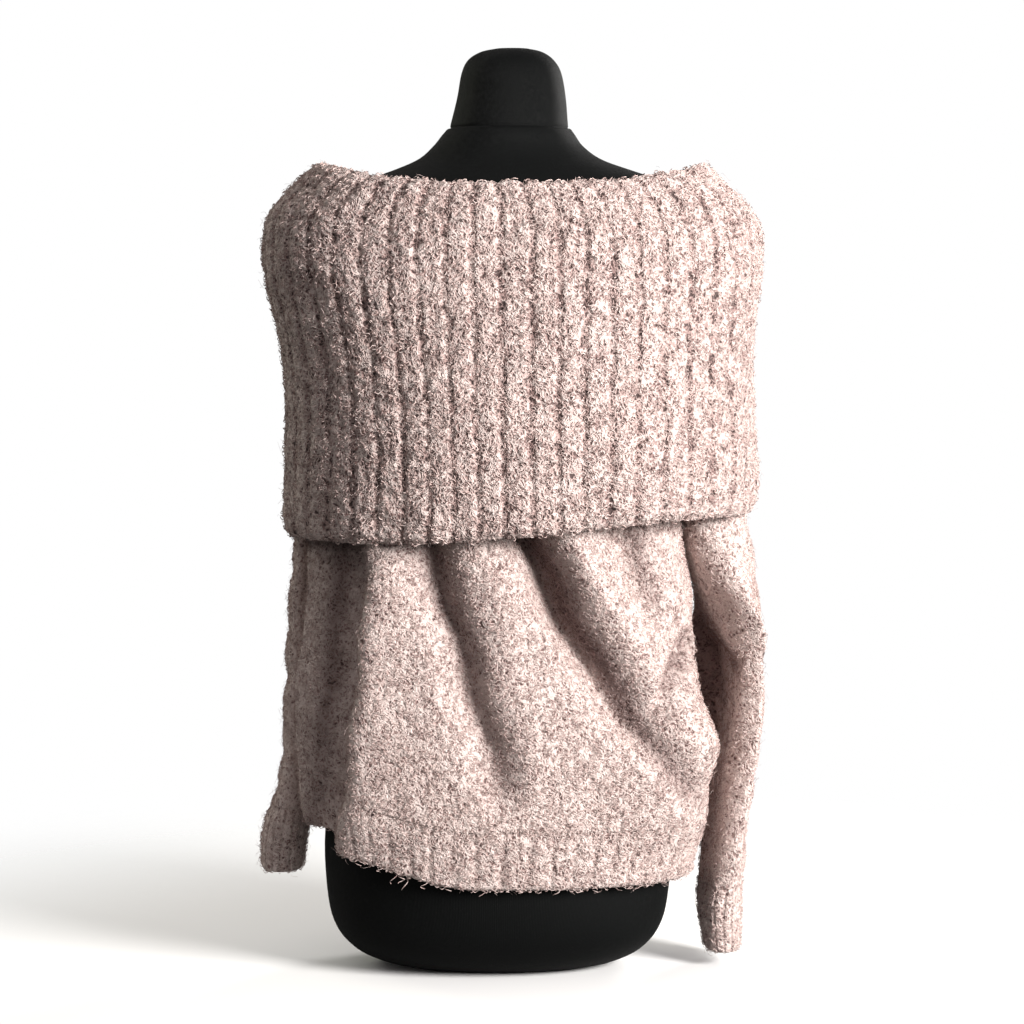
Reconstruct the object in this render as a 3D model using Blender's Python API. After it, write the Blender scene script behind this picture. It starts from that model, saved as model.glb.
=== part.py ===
# Off-shoulder sweater on a dress form, in metres.
# The side seen in the photo is the back, towards -Y. The form stands on z = 0.
import math

import bpy
import bmesh
from mathutils import Vector

# Cloth, in metres
panel_wall = 0.003
rib_wall = 0.004
seam_gap = 0.0006
hem_gap = 0.0008
collar_rib_rise = 0.0026
hem_rib_rise = 0.0018
cuff_rib_rise = 0.0016

# Counts of ribs, measured from the valley spacing in the photo
collar_ribs = 46
collar_even = 0.16
hem_ribs = 56
cuff_ribs = 16

# Heights of the seams
neckline_z = 0.600
underarm_z = 0.500
hem_height = 0.052
hem_low_z = 0.092
hem_slope = 0.027
hem_side_rise = 0.019
cuff_height = 0.060
armhole_angle = math.radians(36)
ring_power = 0.92

# Dress form: one row for each level
form_rows = [
    dict(z=0.000, left=-0.088, right=0.090, back=-0.046, front=0.050, side=0.0),
    dict(z=0.006, left=-0.113, right=0.113, back=-0.062, front=0.067, side=0.0),
    dict(z=0.018, left=-0.136, right=0.135, back=-0.081, front=0.084, side=0.0),
    dict(z=0.040, left=-0.153, right=0.151, back=-0.098, front=0.097, side=0.0),
    dict(z=0.075, left=-0.160, right=0.158, back=-0.107, front=0.104, side=0.0),
    dict(z=0.130, left=-0.161, right=0.161, back=-0.110, front=0.104, side=0.0),
    dict(z=0.200, left=-0.149, right=0.151, back=-0.105, front=0.099, side=0.0),
    dict(z=0.280, left=-0.128, right=0.132, back=-0.091, front=0.095, side=0.0),
    dict(z=0.360, left=-0.109, right=0.115, back=-0.083, front=0.088, side=0.0),
    dict(z=0.440, left=-0.116, right=0.124, back=-0.089, front=0.098, side=0.0),
    dict(z=0.520, left=-0.130, right=0.140, back=-0.098, front=0.114, side=0.0),
    dict(z=0.580, left=-0.140, right=0.154, back=-0.103, front=0.114, side=0.0),
    dict(z=0.640, left=-0.151, right=0.173, back=-0.102, front=0.102, side=0.0),
    dict(z=0.680, left=-0.1554, right=0.1796, back=-0.095, front=0.090, side=0.0),
    dict(z=0.705, left=-0.150, right=0.175, back=-0.087, front=0.080, side=0.0),
    dict(z=0.720, left=-0.132, right=0.158, back=-0.079, front=0.070, side=0.0),
    dict(z=0.731, left=-0.100, right=0.125, back=-0.071, front=0.062, side=0.0),
    dict(z=0.742, left=-0.074, right=0.094, back=-0.064, front=0.057, side=0.0),
    dict(z=0.754, left=-0.060, right=0.077, back=-0.059, front=0.056, side=0.0),
    dict(z=0.765, left=-0.051, right=0.069, back=-0.056, front=0.056, side=0.0),
    dict(z=0.770, left=-0.045, right=0.064, back=-0.052, front=0.054, side=0.0),
    dict(z=0.774, left=-0.044, right=0.063, back=-0.051, front=0.053, side=0.0),
    dict(z=0.798, left=-0.038, right=0.061, back=-0.047, front=0.051, side=0.0),
    dict(z=0.820, left=-0.034, right=0.057, back=-0.043, front=0.048, side=0.0),
    dict(z=0.832, left=-0.028, right=0.050, back=-0.037, front=0.042, side=0.0),
    dict(z=0.839, left=-0.017, right=0.040, back=-0.027, front=0.032, side=0.0),
    dict(z=0.842, left=-0.004, right=0.028, back=-0.015, front=0.019, side=0.0),
]

# Body of the sweater, from the neckline down to the hem
body_rows = [
    dict(z=0.080, left=-0.168, right=0.172, back=-0.120, front=0.122, side=-0.030),
    dict(z=0.120, left=-0.173, right=0.180, back=-0.124, front=0.125, side=-0.038),
    dict(z=0.150, left=-0.178, right=0.187, back=-0.127, front=0.125, side=-0.050),
    dict(z=0.180, left=-0.181, right=0.186, back=-0.128, front=0.126, side=-0.050),
    dict(z=0.220, left=-0.184, right=0.187, back=-0.127, front=0.126, side=-0.050),
    dict(z=0.270, left=-0.184, right=0.179, back=-0.125, front=0.126, side=-0.050),
    dict(z=0.310, left=-0.178, right=0.174, back=-0.123, front=0.128, side=-0.046),
    dict(z=0.350, left=-0.174, right=0.174, back=-0.121, front=0.130, side=-0.040),
    dict(z=0.396, left=-0.173, right=0.1655, back=-0.120, front=0.132, side=-0.030),
    dict(z=0.440, left=-0.166, right=0.166, back=-0.120, front=0.136, side=-0.020),
    dict(z=0.500, left=-0.160, right=0.170, back=-0.120, front=0.138, side=-0.002),
    dict(z=0.560, left=-0.157, right=0.180, back=-0.117, front=0.130, side=0.0),
    dict(z=0.600, left=-0.157, right=0.183, back=-0.114, front=0.122, side=0.0),
]

# Soft swellings of the body: where the ring is pushed out beside its folds
pouches = [
    dict(angle=-34, z=0.208, angle_spread=22, z_spread=0.056, out=0.027),
    dict(angle=-152, z=0.250, angle_spread=16, z_spread=0.060, out=0.006),
    dict(angle=62, z=0.230, angle_spread=24, z_spread=0.060, out=0.008),
    dict(angle=128, z=0.190, angle_spread=20, z_spread=0.050, out=0.009),
]

# Drape folds: from the top to the bottom of each, negative depth is a trough
back_folds = [
    dict(top_x=-0.125, top_z=0.440, low_x=-0.150, low_z=0.150, bow=0.008, spread=0.015, depth=-0.017),
    dict(top_x=-0.098, top_z=0.430, low_x=-0.098, low_z=0.170, bow=0.004, spread=0.014, depth=0.006),
    dict(top_x=-0.080, top_z=0.430, low_x=0.008, low_z=0.160, bow=-0.008, spread=0.013, depth=-0.010),
    dict(top_x=-0.022, top_z=0.420, low_x=0.050, low_z=0.180, bow=0.004, spread=0.017, depth=0.006),
    dict(top_x=0.018, top_z=0.430, low_x=0.172, low_z=0.180, bow=-0.006, spread=0.015, depth=-0.015),
    dict(top_x=0.075, top_z=0.430, low_x=0.132, low_z=0.290, bow=0.004, spread=0.014, depth=0.006),
    dict(top_x=0.108, top_z=0.440, low_x=0.146, low_z=0.320, bow=-0.003, spread=0.011, depth=-0.009),
]
front_folds = [
    dict(top_x=-0.128, top_z=0.450, low_x=-0.138, low_z=0.190, bow=-0.006, spread=0.015, depth=-0.012),
    dict(top_x=-0.070, top_z=0.450, low_x=-0.108, low_z=0.170, bow=0.006, spread=0.014, depth=-0.008),
    dict(top_x=-0.030, top_z=0.440, low_x=-0.052, low_z=0.200, bow=0.004, spread=0.017, depth=0.006),
    dict(top_x=0.010, top_z=0.450, low_x=-0.010, low_z=0.160, bow=0.006, spread=0.014, depth=-0.010),
    dict(top_x=0.070, top_z=0.450, low_x=0.092, low_z=0.210, bow=-0.006, spread=0.016, depth=0.007),
    dict(top_x=0.112, top_z=0.450, low_x=0.134, low_z=0.180, bow=-0.004, spread=0.014, depth=-0.013),
]
fold_fade = 0.035

# Sleeves, from the neckline down to the cuff's end
sleeve_right_rows = [
    dict(z=0.010, left=0.193, right=0.223, back=-0.026, front=0.032, side=0.003, lean=0.000),
    dict(z=0.060, left=0.186, right=0.224, back=-0.030, front=0.036, side=0.003, lean=0.002),
    dict(z=0.100, left=0.188, right=0.229, back=-0.033, front=0.042, side=0.005, lean=0.005),
    dict(z=0.150, left=0.194, right=0.235, back=-0.028, front=0.052, side=0.010, lean=0.008),
    dict(z=0.200, left=0.197, right=0.243, back=-0.024, front=0.058, side=0.014, lean=0.010),
    dict(z=0.250, left=0.189, right=0.247, back=-0.030, front=0.060, side=0.014, lean=0.017),
    dict(z=0.280, left=0.1825, right=0.246, back=-0.036, front=0.060, side=0.012, lean=0.022),
    dict(z=0.310, left=0.180, right=0.244, back=-0.042, front=0.060, side=0.009, lean=0.024),
    dict(z=0.335, left=0.1835, right=0.241, back=-0.046, front=0.060, side=0.008, lean=0.021),
    dict(z=0.360, left=0.1775, right=0.238, back=-0.048, front=0.060, side=0.006, lean=0.017),
    dict(z=0.390, left=0.1678, right=0.232, back=-0.046, front=0.058, side=0.006, lean=0.012),
    dict(z=0.420, left=0.1676, right=0.225, back=-0.042, front=0.056, side=0.006, lean=0.007),
    dict(z=0.500, left=0.1706, right=0.219, back=-0.042, front=0.050, side=-0.002, lean=0.000),
    dict(z=0.600, left=0.178, right=0.206, back=-0.040, front=0.044, side=-0.002, lean=0.000),
]
sleeve_left_rows = [
    dict(z=0.080, left=-0.222, right=-0.186, back=0.000, front=0.056, side=0.028),
    dict(z=0.120, left=-0.220, right=-0.181, back=-0.002, front=0.062, side=0.030),
    dict(z=0.150, left=-0.211, right=-0.179, back=-0.001, front=0.072, side=0.034),
    dict(z=0.180, left=-0.205, right=-0.178, back=0.000, front=0.080, side=0.038),
    dict(z=0.240, left=-0.201, right=-0.176, back=0.001, front=0.086, side=0.040),
    dict(z=0.310, left=-0.198, right=-0.171, back=0.000, front=0.084, side=0.038),
    dict(z=0.360, left=-0.193, right=-0.1725, back=-0.006, front=0.064, side=0.028),
    dict(z=0.420, left=-0.1865, right=-0.1695, back=-0.018, front=0.042, side=0.010),
    dict(z=0.500, left=-0.184, right=-0.1606, back=-0.032, front=0.040, side=-0.002),
    dict(z=0.600, left=-0.184, right=-0.156, back=-0.040, front=0.044, side=-0.002),
]
sleeve_end = {"right": 0.014, "left": 0.084}

# Collar, followed from its free lower edge up the fall, over the fold and down the stand
collar_rows = [
    dict(step=0.00, drop=0.400, left=-0.195, right=0.230, back=-0.146, front=0.152, side=0.008),
    dict(step=0.04, drop=0.418, left=-0.1965, right=0.234, back=-0.149, front=0.155, side=0.008),
    dict(step=0.12, drop=0.462, left=-0.195, right=0.235, back=-0.150, front=0.156, side=0.008),
    dict(step=0.20, drop=0.508, left=-0.194, right=0.233, back=-0.148, front=0.157, side=0.008),
    dict(step=0.28, drop=0.553, left=-0.196, right=0.231, back=-0.144, front=0.157, side=0.006),
    dict(step=0.36, drop=0.600, left=-0.204, right=0.235, back=-0.139, front=0.154, side=0.003),
    dict(step=0.43, drop=0.642, left=-0.213, right=0.239, back=-0.132, front=0.146, side=0.0),
    dict(step=0.49, drop=0.674, left=-0.213, right=0.238, back=-0.126, front=0.135, side=0.0),
    dict(step=0.54, drop=0.693, left=-0.208, right=0.230, back=-0.121, front=0.127, side=0.0),
    dict(step=0.59, drop=0.706, left=-0.197, right=0.219, back=-0.118, front=0.121, side=0.0),
    dict(step=0.64, drop=0.714, left=-0.184, right=0.205, back=-0.114, front=0.116, side=0.0),
    dict(step=0.69, drop=0.716, left=-0.172, right=0.194, back=-0.109, front=0.111, side=0.0),
    dict(step=0.74, drop=0.713, left=-0.163, right=0.187, back=-0.104, front=0.106, side=0.0),
    dict(step=0.80, drop=0.697, left=-0.158, right=0.182, back=-0.103, front=0.105, side=0.0),
    dict(step=0.88, drop=0.665, left=-0.1572, right=0.1812, back=-0.107, front=0.110, side=0.0),
    dict(step=1.00, drop=0.6004, left=-0.154, right=0.180, back=-0.111, front=0.119, side=0.0),
]
rim_rise = 0.026
low_edge_rise = 0.020
ribbed_share = 0.80


def row_at(rows, key, value):
    """Row of a table at a value of its key column, on a smooth curve through the rows."""
    last = len(rows) - 1
    k = 0
    while k < last - 1 and rows[k + 1][key] <= value:
        k += 1
    near = [rows[max(0, min(last, k + shift))] for shift in (-1, 0, 1, 2)]
    span = near[2][key] - near[1][key]
    t = max(0.0, min(1.0, (value - near[1][key]) / span))
    found = {}
    for name in near[1]:
        a, b, c, d = [row[name] for row in near]
        before = max(1e-6, near[2][key] - near[0][key])
        after = max(1e-6, near[3][key] - near[1][key])
        slope_b = (c - a) / before * span
        slope_c = (d - b) / after * span
        found[name] = (b * (2 * t ** 3 - 3 * t ** 2 + 1) + slope_b * (t ** 3 - 2 * t ** 2 + t)
                       + c * (3 * t ** 2 - 2 * t ** 3) + slope_c * (t ** 3 - t ** 2))
    return found


def smooth(low, high, value):
    t = max(0.0, min(1.0, (value - low) / (high - low)))
    return t * t * (3 - 2 * t)


def ring_point(row, angle, z):
    """Point of an oval ring whose four extents and side level come from a row."""
    c = math.cos(angle)
    s = math.sin(angle)
    x_middle = (row["left"] + row["right"]) / 2
    x_reach = (row["right"] - row["left"]) / 2
    y_reach = row["side"] - row["back"] if s < 0 else row["front"] - row["side"]
    across = math.copysign(abs(c) ** ring_power, c)
    along = math.copysign(abs(s) ** ring_power, s)
    lean = row.get("lean", 0.0) * max(0.0, -s) ** 2 * (1 - max(0.0, c))
    return Vector((x_middle + x_reach * across + lean, row["side"] + y_reach * along, z))


def fold_push(folds, x, z):
    """How far the folds of one side move its cloth out, at a place on it."""
    push = 0.0
    for fold in folds:
        t = (fold["top_z"] - z) / (fold["top_z"] - fold["low_z"])
        bent = fold["bow"] * math.sin(math.pi * max(0.0, min(1.0, t)))
        line = fold["top_x"] + (fold["low_x"] - fold["top_x"]) * t + bent
        fade = smooth(fold["low_z"] - 0.01, fold["low_z"] + fold_fade, z)
        fade *= 1 - smooth(fold["top_z"], fold["top_z"] + fold_fade, z)
        push += fold["depth"] * fade * math.exp(-((x - line) / fold["spread"]) ** 2)
    return push


def body_point(angle, z):
    """Outer face of the sweater's body."""
    row = row_at(body_rows, "z", z)
    point = ring_point(row, angle, z)
    out = Vector((math.cos(angle) * 0.8, math.sin(angle), 0)).normalized()
    side_share = abs(math.sin(angle)) ** 0.7
    push = fold_push(back_folds if math.sin(angle) < 0 else front_folds, point.x, z) * side_share
    for pouch in pouches:
        turn = math.degrees(angle) - pouch["angle"]
        turn = (turn + 180) % 360 - 180
        push += (pouch["out"] * math.exp(-(turn / pouch["angle_spread"]) ** 2)
                 * math.exp(-((z - pouch["z"]) / pouch["z_spread"]) ** 2))
    return point + out * push


def hem_low(angle):
    """The hem's lower edge slopes up to the left and is highest at the left side."""
    c = math.cos(angle)
    return hem_low_z + hem_slope * smooth(0.1, 0.9, -c) + hem_side_rise * smooth(0.76, 1.0, -c)


def armhole(z):
    """Ring angle between the side of the body and the armhole's edge."""
    return armhole_angle * smooth(underarm_z - 0.002, neckline_z, z) ** 0.6


def panel_place(start):
    """Place function of the back or the front, from one side seam to the other."""
    def place(u, w):
        middle = start + (1 - u) * math.pi
        low_z = hem_low(middle) + hem_height + hem_gap
        z = neckline_z + (low_z - neckline_z) * w
        inset = armhole(z) + seam_gap / 0.17
        angle = start + inset + (1 - u) * (math.pi - 2 * inset)
        return body_point(angle, z)
    return place


def sleeve_place(rows, side, end_z):
    """Place function of a sleeve: open above the underarm, a closed tube below it."""
    outward = 1 if side == "right" else -1
    top_share = 0.2

    def height(w):
        if w < top_share:
            return neckline_z + (underarm_z - neckline_z) * w / top_share
        return underarm_z + (end_z - underarm_z) * (w - top_share) / (1 - top_share)

    def edge(z, front):
        turn = armhole(z)
        angle = turn if front else -turn
        if side == "left":
            angle = math.pi - angle
        point = body_point(angle, z)
        share = turn / armhole_angle
        point.x += outward * seam_gap * (1 - share * 0.4)
        point.y += seam_gap * share * 1.2 * (-1 if front else 1)
        return point

    def place(across_share, w):
        z = height(w)
        u = across_share if side == "right" else 1 - across_share
        turn = (1 - 2 * u) * math.pi
        ring = ring_point(row_at(rows, "z", z), turn if side == "right" else math.pi - turn, z)
        if z <= underarm_z:
            return ring
        first = ring_point(row_at(rows, "z", z), math.pi if side == "right" else 0.0, z)
        across = armhole(z) * (2 * u - 1) * -1
        flat = body_point(across if side == "right" else math.pi - across, z)
        flat.x += outward * seam_gap
        near_front = max(0.0, 1 - 2 * u) ** 2
        near_back = max(0.0, 2 * u - 1) ** 2
        bent = ring + (edge(z, True) - first) * near_front + (edge(z, False) - first) * near_back
        loose = smooth(neckline_z, underarm_z, z) if z < neckline_z else 0.0
        point = flat.lerp(bent, loose)
        if u == 0:
            point = edge(z, True)
        if u == 1:
            point = edge(z, False)
        point.z = z
        return point
    return place


def collar_place(u, w):
    """Place function of the folded collar, its right side outwards."""
    row = row_at(collar_rows, "step", w)
    angle = u * 2 * math.pi
    angle += collar_even * math.sin(2 * angle)
    point = ring_point(row, angle, row["drop"])
    near_rim = smooth(0.57, 0.78, w) * (1 - smooth(0.80, 0.96, w))
    side_share = abs(math.cos(angle)) ** 2.2
    low_rise = low_edge_rise * (1 - smooth(0.0, 0.16, w)) * smooth(-0.6, 0.8, math.cos(angle))
    point.z += rim_rise * side_share * near_rim + low_rise
    return point


def hem_place(u, w):
    angle = (1 - u) * 2 * math.pi
    z = hem_low(angle) + hem_height * (1 - w)
    return body_point(angle, z)


def cuff_place(rows, end_z):
    def place(u, w):
        z = end_z + cuff_height * (1 - w)
        return ring_point(row_at(rows, "z", z), (1 - u) * 2 * math.pi, z)
    return place


def face_normal(place, u, w):
    """Direction square to the surface, found from its neighbours."""
    step = 0.004
    joined = (place(0, w) - place(1, w)).length < 1e-6
    if joined:
        across = place((u + step) % 1, w) - place((u - step) % 1, w)
    else:
        across = place(min(1, u + step), w) - place(max(0, u - step), w)
    down = place(u, min(1, w + step)) - place(u, max(0, w - step))
    return across.cross(down).normalized()


def lay_sheet(mesh, place, columns, rows, lift, first_row=0.0, last_row=1.0, inside=False):
    """One face of a wall: a grid put in place and lifted along its normals."""
    made = bmesh.ops.create_grid(mesh, x_segments=columns, y_segments=rows, size=1)
    for vert in made["verts"]:
        u = round((vert.co.x + 1) / 2, 6)
        share = round((1 - vert.co.y) / 2, 6)
        w = first_row + (last_row - first_row) * share
        normal = face_normal(place, u, w)
        point = place(u, w)
        moved = point + normal * lift(u)
        if w in (0.0, 1.0):
            moved.z = point.z
        vert.co = moved
    bmesh.ops.remove_doubles(mesh, verts=made["verts"], dist=0.00005)
    verts = [vert for vert in made["verts"] if vert.is_valid]
    if inside:
        faces = {face for vert in verts for face in vert.link_faces}
        bmesh.ops.reverse_faces(mesh, faces=list(faces))
    return verts


def loops_of(verts):
    """Boundary loops of one sheet, the highest first."""
    own = set(verts)
    edges = {edge for vert in verts for edge in vert.link_edges if edge.is_boundary}
    edges = {edge for edge in edges if edge.verts[0] in own and edge.verts[1] in own}
    loops = []
    while edges:
        todo = [edges.pop()]
        loop = []
        while todo:
            edge = todo.pop()
            loop.append(edge)
            for vert in edge.verts:
                for other in vert.link_edges:
                    if other in edges:
                        edges.remove(other)
                        todo.append(other)
        loops.append(loop)
    middle = [sum(edge.verts[0].co.z for edge in loop) / len(loop) for loop in loops]
    order = sorted(range(len(loops)), key=lambda k: -middle[k])
    return [loops[k] for k in order]


def close_wall(mesh, first, second):
    for one, other in zip(first, second):
        bmesh.ops.bridge_loops(mesh, edges=one + other)


def finish_object(mesh, name, colour, roughness):
    bmesh.ops.recalc_face_normals(mesh, faces=mesh.faces)
    data = bpy.data.meshes.new(name)
    mesh.to_mesh(data)
    mesh.free()
    piece = bpy.data.objects.new(name, data)
    bpy.context.scene.collection.objects.link(piece)
    data.shade_smooth()
    material = bpy.data.materials.new(name)
    material.use_nodes = True
    shader = material.node_tree.nodes["Principled BSDF"]
    shader.inputs["Base Color"].default_value = (*colour, 1)
    shader.inputs["Roughness"].default_value = roughness
    shader.inputs["Metallic"].default_value = 0.0
    data.materials.append(material)
    return piece


def rib_lift(count, rise):
    """Lift of the outer points: three columns to a rib, the first in the valley."""
    def lift(u):
        return 0.0 if round(u * count * 3) % 3 == 0 else rise
    return lift


def plain_wall(name, place, columns, rows, wall, colour):
    mesh = bmesh.new()
    outer = lay_sheet(mesh, place, columns, rows, lambda u: 0.0)
    inner = lay_sheet(mesh, place, columns, rows, lambda u: -wall, inside=True)
    close_wall(mesh, loops_of(outer), loops_of(inner))
    return finish_object(mesh, name, colour, 0.95)


def ribbed_wall(name, place, ribs, rows, rise, colour):
    mesh = bmesh.new()
    outer = lay_sheet(mesh, place, ribs * 3, rows, rib_lift(ribs, rise))
    inner = lay_sheet(mesh, place, ribs, rows, lambda u: -rib_wall, inside=True)
    close_wall(mesh, loops_of(outer), loops_of(inner))
    return finish_object(mesh, name, colour, 0.95)


def make_collar(colour):
    """Ribbed on the fall and over the fold, plain on the stand and between the layers."""
    mesh = bmesh.new()
    lift = rib_lift(collar_ribs, collar_rib_rise)
    ribbed = lay_sheet(mesh, collar_place, collar_ribs * 3, 13, lift, 0.0, ribbed_share)
    plain = lay_sheet(mesh, collar_place, collar_ribs, 2, lambda u: 0.001, ribbed_share + 0.02, 1.0)
    inside = lay_sheet(mesh, collar_place, collar_ribs, 16, lambda u: -rib_wall, inside=True)
    ribbed_loops = sorted(loops_of(ribbed), key=lambda loop: loop[0].verts[0].co.z)
    plain_loops = sorted(loops_of(plain), key=lambda loop: loop[0].verts[0].co.z)
    inside_loops = sorted(loops_of(inside), key=lambda loop: loop[0].verts[0].co.z)
    bmesh.ops.bridge_loops(mesh, edges=ribbed_loops[1] + plain_loops[1])
    bmesh.ops.bridge_loops(mesh, edges=ribbed_loops[0] + inside_loops[0])
    bmesh.ops.bridge_loops(mesh, edges=plain_loops[0] + inside_loops[1])
    return finish_object(mesh, "collar", colour, 0.95)


def make_form(colour):
    """Smooth limbless form, closed by a flat base and a flat neck cap."""
    mesh = bmesh.new()
    columns = 32
    last = len(form_rows) - 1
    made = bmesh.ops.create_grid(mesh, x_segments=columns, y_segments=last, size=1)
    for vert in made["verts"]:
        angle = (vert.co.x + 1) * math.pi
        row = form_rows[round((vert.co.y + 1) / 2 * last)]
        vert.co = ring_point(row, angle, row["z"])
    bmesh.ops.remove_doubles(mesh, verts=made["verts"], dist=0.00005)
    for loop in loops_of(mesh.verts):
        bmesh.ops.contextual_create(mesh, geom=loop)
    return finish_object(mesh, "dress_form", colour, 0.9)


def clear_scene():
    for piece in list(bpy.data.objects):
        bpy.data.objects.remove(piece, do_unlink=True)


def main():
    clear_scene()
    knit = (0.52, 0.37, 0.34)
    jersey = (0.006, 0.007, 0.007)
    make_form(jersey)
    make_collar(knit)
    plain_wall("back", panel_place(-math.pi), 36, 22, panel_wall, knit)
    plain_wall("front", panel_place(0.0), 26, 16, panel_wall, knit)
    for side, rows in (("left", sleeve_left_rows), ("right", sleeve_right_rows)):
        cuff_top = sleeve_end[side] + cuff_height
        plain_wall("sleeve_" + side, sleeve_place(rows, side, cuff_top + seam_gap), 18, 20,
                   panel_wall, knit)
        ribbed_wall("cuff_" + side, cuff_place(rows, sleeve_end[side]), cuff_ribs, 2,
                    cuff_rib_rise, knit)
    ribbed_wall("hem_rib", hem_place, hem_ribs, 2, hem_rib_rise, knit)


main()
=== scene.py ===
import math
import random

import bmesh
import bpy
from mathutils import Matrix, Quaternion, Vector, noise


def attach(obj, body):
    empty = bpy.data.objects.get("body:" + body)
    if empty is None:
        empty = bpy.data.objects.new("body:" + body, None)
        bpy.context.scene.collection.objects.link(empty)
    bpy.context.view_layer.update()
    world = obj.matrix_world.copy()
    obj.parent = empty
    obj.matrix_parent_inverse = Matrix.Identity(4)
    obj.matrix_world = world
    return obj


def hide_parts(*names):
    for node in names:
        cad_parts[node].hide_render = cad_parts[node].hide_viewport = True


# Off-shoulder bouclé sweater on a black dress form, in metres, seen from its back (-Y).

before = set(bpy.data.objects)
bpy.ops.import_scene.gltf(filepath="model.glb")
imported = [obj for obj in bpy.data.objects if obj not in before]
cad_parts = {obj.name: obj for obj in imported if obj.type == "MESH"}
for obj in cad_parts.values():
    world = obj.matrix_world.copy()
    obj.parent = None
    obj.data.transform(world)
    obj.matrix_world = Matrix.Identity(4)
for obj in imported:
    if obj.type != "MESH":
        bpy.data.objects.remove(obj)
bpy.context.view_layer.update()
rng = random.Random(7)


# Shape helpers

ovalPower = 0.92


def rowsOf(names, rows):
    keys = names.split()
    return [dict(zip(keys, row)) for row in rows]


def smoothStep(low, high, value):
    t = max(0.0, min(1.0, (value - low) / (high - low)))
    return t * t * (3 - 2 * t)


def rowAt(rows, key, value):  # a row between the table's rows, on a smooth curve
    last = len(rows) - 1
    k = 0
    while k < last - 1 and rows[k + 1][key] <= value:
        k += 1
    near = [rows[max(0, min(last, k + shift))] for shift in (-1, 0, 1, 2)]
    span = near[2][key] - near[1][key]
    t = max(0.0, min(1.0, (value - near[1][key]) / span))
    found = {}
    for name in near[1]:
        a, b, c, d = [row[name] for row in near]
        slopeB = (c - a) / max(1e-6, near[2][key] - near[0][key]) * span
        slopeC = (d - b) / max(1e-6, near[3][key] - near[1][key]) * span
        found[name] = (b * (2 * t ** 3 - 3 * t ** 2 + 1) + slopeB * (t ** 3 - 2 * t ** 2 + t)
                       + c * (3 * t ** 2 - 2 * t ** 3) + slopeC * (t ** 3 - t ** 2))
    return found


def ringPoint(row, angle, z):  # oval ring with four extents and its own side level
    c, s = math.cos(angle), math.sin(angle)
    middle = (row["left"] + row["right"]) / 2
    reach = (row["right"] - row["left"]) / 2
    depth = row["side"] - row["back"] if s < 0 else row["front"] - row["side"]
    across = math.copysign(abs(c) ** ovalPower, c)
    along = math.copysign(abs(s) ** ovalPower, s)
    lean = row.get("lean", 0.0) * max(0.0, -s) ** 2 * (1 - max(0.0, c))
    return Vector((middle + reach * across + lean, row["side"] + depth * along, z))


def softNoise(point, scale, seed=0.0):
    return noise.noise(Vector((point.x * scale + seed, point.y * scale - seed, point.z * scale)))


# Mesh helpers


def layGrid(mesh, place, columns, rows, uvSize):  # one face of a cloth wall, with its UVs
    uv = mesh.loops.layers.uv.verify()
    across = mesh.verts.layers.float.get("across") or mesh.verts.layers.float.new("across")
    down = mesh.verts.layers.float.get("down") or mesh.verts.layers.float.new("down")
    if mesh.faces.layers.int.get("outer") is None:
        mesh.faces.layers.int.new("outer")
    made = bmesh.ops.create_grid(mesh, x_segments=columns, y_segments=rows, size=1)
    verts = made["verts"]
    faces = list({face for vert in verts for face in vert.link_faces})
    for face in faces:
        for loop in face.loops:
            co = loop.vert.co
            loop[uv].uv = ((co.x + 1) / 2 * uvSize[0], (1 - co.y) / 2 * uvSize[1])
    for vert in verts:
        vert[across] = min(1.0, max(0.0, (vert.co.x + 1) / 2))
        vert[down] = min(1.0, max(0.0, (1 - vert.co.y) / 2))
    for vert in verts:
        vert.co = place(round(vert[across], 6), round(vert[down], 6))
    bmesh.ops.reverse_faces(mesh, faces=faces)
    bmesh.ops.remove_doubles(mesh, verts=verts, dist=0.00005)
    verts = [vert for vert in verts if vert.is_valid]
    mesh.normal_update()
    return verts, across, down


def boundaryLoops(verts):  # highest loop first
    own = set(verts)
    edges = {edge for vert in verts for edge in vert.link_edges if edge.is_boundary}
    edges = {edge for edge in edges if edge.verts[0] in own and edge.verts[1] in own}
    loops = []
    while edges:
        todo = [edges.pop()]
        loop = []
        while todo:
            edge = todo.pop()
            loop.append(edge)
            for vert in edge.verts:
                near = [other for other in vert.link_edges if other in edges]
                edges.difference_update(near)
                todo.extend(near)
        loops.append(loop)
    return sorted(loops, key=lambda loop: -sum(edge.verts[0].co.z for edge in loop) / len(loop))


def knitWall(name, place, fine, coarse, uvSize, lift, wall):  # fine outer face, plain inner face
    mesh = bmesh.new()
    outer, across, down = layGrid(mesh, place, fine[0], fine[1], uvSize)
    mark = mesh.faces.layers.int["outer"]
    for face in mesh.faces:
        face[mark] = 1
    moves = [(vert, vert.normal * lift(vert[across], vert[down], vert.co)) for vert in outer]
    for vert, move in moves:
        vert.co += move
    inner, across, down = layGrid(mesh, place, coarse[0], coarse[1], uvSize)
    moves = [(vert, vert.normal * -wall) for vert in inner]
    for vert, move in moves:
        vert.co += move
    bmesh.ops.reverse_faces(mesh, faces=list({face for vert in inner for face in vert.link_faces}))
    for one, other in zip(boundaryLoops(outer), boundaryLoops(inner)):
        bmesh.ops.bridge_loops(mesh, edges=one + other)
    bmesh.ops.recalc_face_normals(mesh, faces=mesh.faces)
    piece = toObject(mesh, name)
    return piece


def toObject(mesh, name):
    data = bpy.data.meshes.new(name)
    mesh.to_mesh(data)
    mesh.free()
    data.shade_smooth()
    piece = bpy.data.objects.new(name, data)
    bpy.context.scene.collection.objects.link(piece)
    return piece


def ribShape(phase):  # 0 in the valley, 1 on the crown of a rib
    t = abs((phase % 1.0) - 0.5) * 2
    return 1 - t ** 5


# Dress form

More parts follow.
